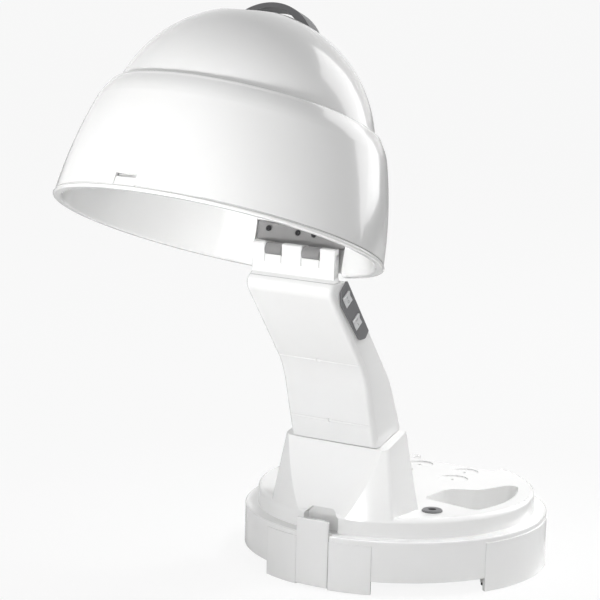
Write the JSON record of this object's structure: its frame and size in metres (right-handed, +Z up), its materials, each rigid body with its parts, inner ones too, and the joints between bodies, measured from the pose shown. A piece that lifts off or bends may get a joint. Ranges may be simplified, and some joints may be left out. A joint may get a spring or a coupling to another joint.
{
  "type": "folding hood hair dryer",
  "caption": "Table-top bonnet hair dryer: a domed drying hood on a hinged arm that folds down over its round base.",
  "frame": {"origin": "middle of the round base, on the plane it stands on", "axes": "+Z up, -Y the front (the side the hood leans over), +X the side with the two rocker switches"},
  "size_m": [0.2696, 0.5368, 0.4984],
  "materials": {
    "white_shell": "glossy moulded ABS",
    "grey_trim": "dark grey satin ABS",
    "light_grey": "light grey satin plastic",
    "rubber": "moulded rubber",
    "ballast_iron": "cast plate",
    "steel": "zinc-plated steel",
    "nylon": "natural nylon",
    "switch_black": "black nylon",
    "mica": "mica board",
    "heater_wire": "resistance wire"
  },
  "bodies": {
    "base": {"base_cover": "white_shell", "bottom_plate": "white_shell", "rubber_pads": "rubber", "ballast_plate": "ballast_iron", "ballast_screws": "steel", "bottom_screws": "steel", "cord_gland": "light_grey", "pivot_pin": "steel", "latch_pin": "steel"},
    "latch": {"front_latch": "white_shell", "latch_spring": "steel"},
    "arm": {"arm_rear_shell": "white_shell", "arm_front_cover": "white_shell", "arm_head": "white_shell", "arm_cover_screws": "steel", "head_screws": "steel", "pivot_washers": "nylon", "switch_bezel": "grey_trim", "power_switch": "switch_black", "heat_switch": "switch_black", "hinge_pin": "steel"},
    "power_button": {"power_rocker": "light_grey"},
    "heat_button": {"heat_rocker": "light_grey"},
    "hood": {"hood_skirt": "white_shell", "hood_dome": "white_shell", "hood_liner": "white_shell", "carry_handle": "grey_trim", "hinge_bracket": "grey_trim", "bracket_screws": "steel", "air_duct": "nylon", "motor_mount": "steel", "duct_screws": "steel", "blower_motor": "steel", "heater_frame": "mica", "heater_coil": "heater_wire", "thermal_cutout": "steel"},
    "fan": {"motor_shaft": "steel", "fan_wheel": "nylon"}
  },
  "joints": [
    {"name": "arm_fold", "type": "hinge", "parent": "base", "child": "arm", "pos_m": [0, -0.085, 0.1074], "axis": [-1, 0, 0], "range_deg": [0, 126.94]},
    {"name": "hood_fold", "type": "hinge", "parent": "arm", "child": "hood", "pos_m": [0, -0.16763, 0.293], "axis": [1, 0, 0], "range_deg": [0, 147.96]},
    {"name": "latch_press", "type": "hinge", "parent": "base", "child": "latch", "pos_m": [0, -0.127, 0.04], "axis": [1, 0, 0], "range_deg": [0, 5], "stiffness_Nm_per_rad": 0.6, "springref_deg": -8.59},
    {"name": "power_rock", "type": "hinge", "parent": "arm", "child": "power_button", "pos_m": [0.0418, -0.15691, 0.25727], "axis": [0, -0.7992, -0.601], "range_deg": [0, 12]},
    {"name": "heat_rock", "type": "hinge", "parent": "arm", "child": "heat_button", "pos_m": [0.0418, -0.14128, 0.23649], "axis": [0, -0.7992, -0.601], "range_deg": [0, 12]},
    {"name": "fan_spin", "type": "hinge", "parent": "hood", "child": "fan", "pos_m": [0, -0.23141, 0.44216], "axis": [0, 0.3584, 0.9336], "continuous": true}
  ],
  "couplings": [
    {"joint": "hood_fold", "follows": "arm_fold", "ratio": 1.1654}
  ]
}
